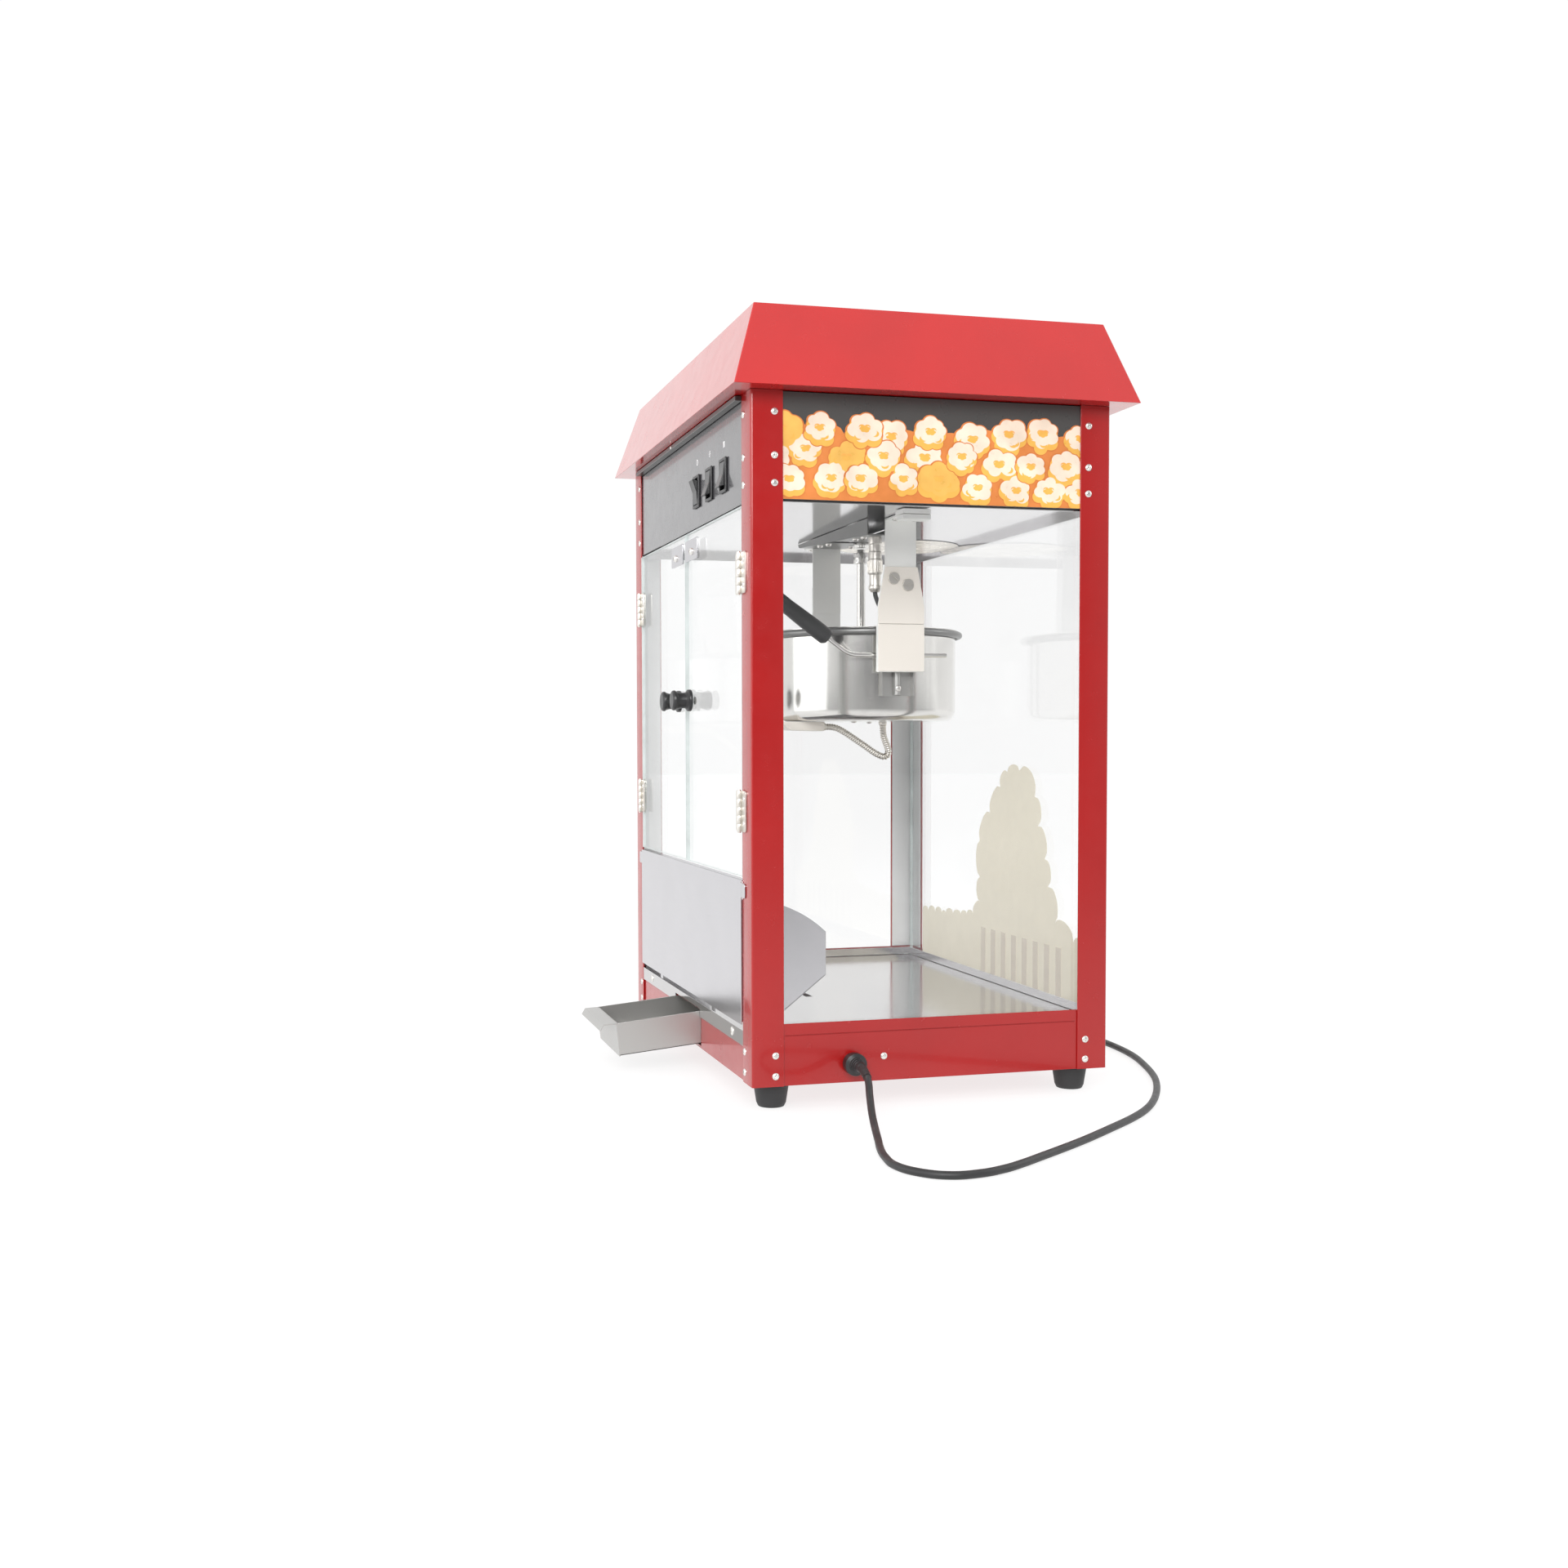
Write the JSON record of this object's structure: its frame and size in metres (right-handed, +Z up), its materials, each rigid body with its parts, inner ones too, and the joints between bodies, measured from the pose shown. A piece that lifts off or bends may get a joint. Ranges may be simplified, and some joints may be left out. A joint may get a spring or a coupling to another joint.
{
  "type": "popcorn maker",
  "caption": "Countertop popcorn machine: red cabinet with clear doors and panes, hung tilting kettle, tilting flap, crumb drawer, rocker switches and mains cord.",
  "frame": {"origin": "middle of the footprint of the whole machine with its drawer open, at the level of the feet", "axes": "+Z up; -Y is the operator side with doors, flap and drawer; +X is the side that the cord leaves; +Y faces the customers"},
  "size_m": [0.8051, 0.6161, 0.769],
  "materials": {
    "red_paint": "gloss",
    "black_paint": "satin",
    "brushed_stainless": "brushed",
    "polished_stainless": "polished",
    "dark_steel": "satin",
    "galvanised": "matte",
    "nickel": "satin",
    "clear_acrylic": "clear",
    "black_plastic": "satin",
    "black_rubber": "matte",
    "lamp_glass": "clear"
  },
  "bodies": {
    "cabinet": {"base_housing": "red_paint", "cabinet_lamp": "lamp_glass", "cable_gland": "black_plastic", "ceiling_plate": "brushed_stainless", "control_panel": "black_paint", "cord_coil": "black_rubber", "corner_post_front_left": "red_paint", "corner_post_front_right": "red_paint", "corner_post_rear_left": "red_paint", "corner_post_rear_right": "red_paint", "deck_heater": "dark_steel", "deck_tray": "brushed_stainless", "foot_front_left": "black_rubber", "foot_front_right": "black_rubber", "foot_rear_left": "black_rubber", "foot_rear_right": "black_rubber", "gear_motor": "galvanised", "hanger_left": "polished_stainless", "hanger_right": "polished_stainless", "header_panel_left": "black_paint", "header_panel_rear": "black_paint", "header_panel_right": "black_paint", "hinge_left_lower": "nickel", "hinge_left_upper": "nickel", "hinge_right_lower": "nickel", "hinge_right_upper": "nickel", "kettle_plug_socket": "nickel", "mains_plug": "black_plastic", "power_cord": "black_rubber", "rear_glass": "clear_acrylic", "roof": "red_paint", "side_glass_left": "clear_acrylic", "side_glass_right": "clear_acrylic", "switch_body_1": "black_plastic", "switch_body_2": "black_plastic", "switch_body_3": "black_plastic"},
    "door_left": {"door_left": "clear_acrylic", "door_knob_left": "black_plastic"},
    "door_right": {"door_right": "clear_acrylic", "door_knob_right": "black_plastic"},
    "flap": {"front_flap": "brushed_stainless"},
    "drawer_carriage": {"drawer_runner": "galvanised"},
    "drawer": {"crumb_drawer": "brushed_stainless"},
    "kettle": {"kettle_pan": "dark_steel", "kettle_casing": "polished_stainless", "kettle_heater": "dark_steel", "kettle_bracket_left": "brushed_stainless", "kettle_bracket_right": "brushed_stainless", "handle_rod": "polished_stainless", "handle_grip": "black_plastic", "lid_bar": "brushed_stainless", "terminal_box": "brushed_stainless", "armoured_lead": "brushed_stainless"},
    "lid_front": {"lid_front": "polished_stainless"},
    "lid_rear": {"lid_rear": "polished_stainless"},
    "stirrer": {"stirrer": "polished_stainless"},
    "drive_hub": {"drive_hub": "black_plastic"},
    "rocker_1": {"switch_rocker_1": "black_plastic"},
    "rocker_2": {"switch_rocker_2": "black_plastic"},
    "rocker_3": {"switch_rocker_3": "black_plastic"}
  },
  "joints": [
    {"name": "door_left_swing", "type": "hinge", "parent": "cabinet", "child": "door_left", "pos_m": [-0.2258, -0.14575, 0.4], "axis": [0, 0, -1], "range_deg": [0, 110]},
    {"name": "door_right_swing", "type": "hinge", "parent": "cabinet", "child": "door_right", "pos_m": [0.2258, -0.14575, 0.4], "axis": [0, 0, 1], "range_deg": [0, 110]},
    {"name": "flap_tilt", "type": "hinge", "parent": "cabinet", "child": "flap", "pos_m": [0, -0.14275, 0.077], "axis": [1, 0, 0], "range_deg": [0, 40]},
    {"name": "drawer_slide", "type": "slide", "parent": "cabinet", "child": "drawer_carriage", "axis": [0, -1, 0], "range_m": [-0.0885, 0.005]},
    {"name": "drawer_level", "type": "hinge", "parent": "drawer_carriage", "child": "drawer", "pos_m": [0, -0.14275, 0.0294], "axis": [1, 0, 0], "range_deg": [-5.75, 0.35]},
    {"name": "kettle_tilt", "type": "hinge", "parent": "cabinet", "child": "kettle", "pos_m": [0, 0.06225, 0.438], "axis": [1, 0, 0], "range_deg": [0, 100]},
    {"name": "lid_front_lift", "type": "hinge", "parent": "kettle", "child": "lid_front", "pos_m": [0, 0.04975, 0.4769], "axis": [-1, 0, 0], "range_deg": [0, 80]},
    {"name": "lid_rear_lift", "type": "hinge", "parent": "kettle", "child": "lid_rear", "pos_m": [0, 0.07475, 0.4769], "axis": [1, 0, 0], "range_deg": [0, 80]},
    {"name": "hub_spin", "type": "hinge", "parent": "cabinet", "child": "drive_hub", "pos_m": [0, 0.06225, 0.58], "axis": [0, 0, 1], "continuous": true},
    {"name": "stirrer_spin", "type": "hinge", "parent": "kettle", "child": "stirrer", "pos_m": [0, 0.06225, 0.48], "axis": [0, 0, 1], "continuous": true},
    {"name": "rocker_1_throw", "type": "hinge", "parent": "cabinet", "child": "rocker_1", "pos_m": [0.0485, -0.14195, 0.622], "axis": [-1, 0, 0], "range_deg": [0, 24]},
    {"name": "rocker_2_throw", "type": "hinge", "parent": "cabinet", "child": "rocker_2", "pos_m": [0.101, -0.14195, 0.622], "axis": [1, 0, 0], "range_deg": [0, 24]},
    {"name": "rocker_3_throw", "type": "hinge", "parent": "cabinet", "child": "rocker_3", "pos_m": [0.1565, -0.14195, 0.622], "axis": [1, 0, 0], "range_deg": [0, 24]}
  ],
  "couplings": [
    {"joint": "stirrer_spin", "follows": "hub_spin", "ratio": 1},
    {"joint": "drawer_level", "follows": "drawer_slide", "rad_per_m": 1.1241}
  ]
}
